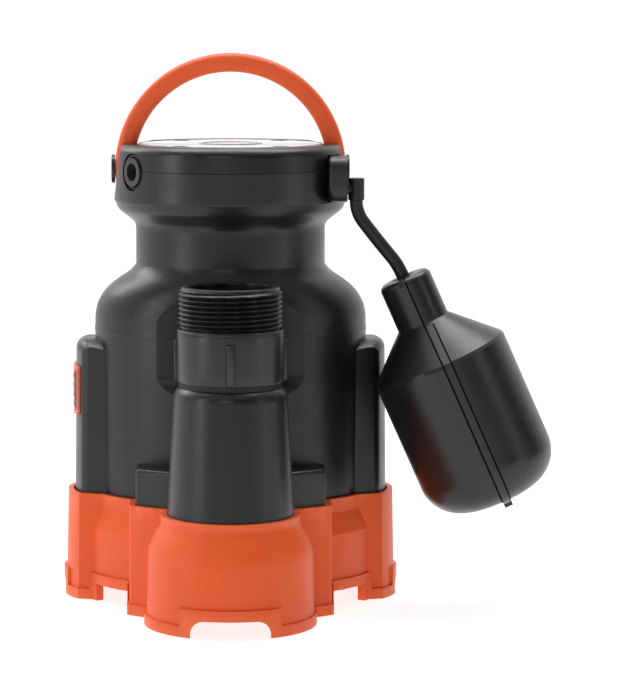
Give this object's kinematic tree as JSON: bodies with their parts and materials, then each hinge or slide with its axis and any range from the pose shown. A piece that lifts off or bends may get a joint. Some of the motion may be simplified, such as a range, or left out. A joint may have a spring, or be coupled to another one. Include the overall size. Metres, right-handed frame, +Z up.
{
  "type": "submersible sump pump",
  "caption": "Submersible sump pump: black motor housing on an orange strainer base, orange carry handle, threaded vertical discharge and a tethered float switch.",
  "frame": {"origin": "underside of the strainer base, on the axis of the motor shaft", "axes": "+Z up along the shaft, -Y towards the discharge outlet, +X towards the float switch"},
  "size_m": [0.2362, 0.1933, 0.264],
  "materials": {
    "black_plastic": "satin moulded thermoplastic",
    "orange_plastic": "satin moulded thermoplastic",
    "white_plate": "satin white disc",
    "float_plastic": "satin moulded polypropylene",
    "cord_rubber": "matt neoprene jacket",
    "seal_rubber": "black nitrile",
    "stainless": "machined stainless steel",
    "shaft_steel": "ground stainless steel",
    "bearing_steel": "polished bearing steel",
    "impeller_plastic": "glass-filled nylon",
    "casing_plastic": "glass-filled polypropylene",
    "lamination_steel": "stacked electrical steel",
    "copper": "varnished copper windings",
    "cast_alloy": "die-cast aluminium",
    "ceramic": "polished ceramic",
    "capacitor_film": "smooth plastic can",
    "black_pin": "black oxide steel",
    "badge_plastic": "satin raised frame"
  },
  "bodies": {
    "pump": {"strainer_base": "orange_plastic", "motor_housing": "black_plastic", "badge_plate": "badge_plastic", "top_cap": "black_plastic", "cap_gasket": "seal_rubber", "top_plate": "white_plate", "cap_screws": "black_pin", "discharge_adapter": "black_plastic", "riser_oring": "seal_rubber", "gland_sleeve": "seal_rubber", "gland_ring": "black_plastic", "float_cord_block": "black_plastic", "float_cord_elbow": "cord_rubber", "float_cord": "cord_rubber", "handle_pivot_pins": "black_pin", "volute_casing": "casing_plastic", "suction_wear_ring": "impeller_plastic", "seal_plate": "casing_plastic", "volute_gasket": "seal_rubber", "seal_seat": "ceramic", "lip_seal": "seal_rubber", "lower_bearing_outer_ring": "bearing_steel", "upper_bearing_outer_ring": "bearing_steel", "stator_core": "lamination_steel", "stator_windings": "copper", "stator_sleeve": "cast_alloy", "upper_bearing_bracket": "cast_alloy", "capacitor": "capacitor_film", "capacitor_tray": "casing_plastic", "terminal_block": "ceramic", "thermal_protector": "casing_plastic", "base_screws": "stainless"},
    "rotor": {"shaft": "shaft_steel", "impeller": "impeller_plastic", "impeller_washer": "stainless", "impeller_nut": "stainless", "rotor_core": "lamination_steel", "rotor_end_rings": "cast_alloy", "lower_bearing_inner_ring": "bearing_steel", "upper_bearing_inner_ring": "bearing_steel", "rotary_seal_ring": "casing_plastic", "seal_spring": "stainless"},
    "bearing_balls": {"lower_bearing_balls": "bearing_steel", "upper_bearing_balls": "bearing_steel"},
    "handle": {"carry_handle": "orange_plastic"},
    "float": {"float_shell_left": "float_plastic", "float_shell_right": "float_plastic", "float_neck_grommet": "seal_rubber", "float_ball_tube": "casing_plastic", "float_switch": "casing_plastic"},
    "float_ball": {"float_ball": "bearing_steel"},
    "switch_lever": {"float_switch_lever": "stainless"}
  },
  "joints": [
    {"name": "rotor_spin", "type": "hinge", "parent": "pump", "child": "rotor", "pos_m": [0, 0, 0.1], "axis": [0, 0, 1], "continuous": true},
    {"name": "bearing_orbit", "type": "hinge", "parent": "pump", "child": "bearing_balls", "pos_m": [0, 0, 0.1], "axis": [0, 0, 1], "continuous": true},
    {"name": "handle_swing", "type": "hinge", "parent": "pump", "child": "handle", "pos_m": [0, 0, 0.208], "axis": [-1, 0, 0], "range_deg": [0, 60]},
    {"name": "float_swing", "type": "hinge", "parent": "pump", "child": "float", "pos_m": [0.072, -0.031, 0.1775], "axis": [0, -1, 0], "range_deg": [0, 110], "deforming": ["float_cord"]},
    {"name": "ball_roll", "type": "slide", "parent": "float", "child": "float_ball", "axis": [-0.4067, 0, 0.9135], "range_m": [0, 0.052]},
    {"name": "lever_press", "type": "hinge", "parent": "float", "child": "switch_lever", "pos_m": [0.09944, -0.024, 0.12018], "axis": [-0.9135, 0, -0.4067], "range_deg": [0, 6], "stiffness_Nm_per_rad": 0.01}
  ],
  "couplings": [
    {"joint": "bearing_orbit", "follows": "rotor_spin", "ratio": 0.3928}
  ]
}
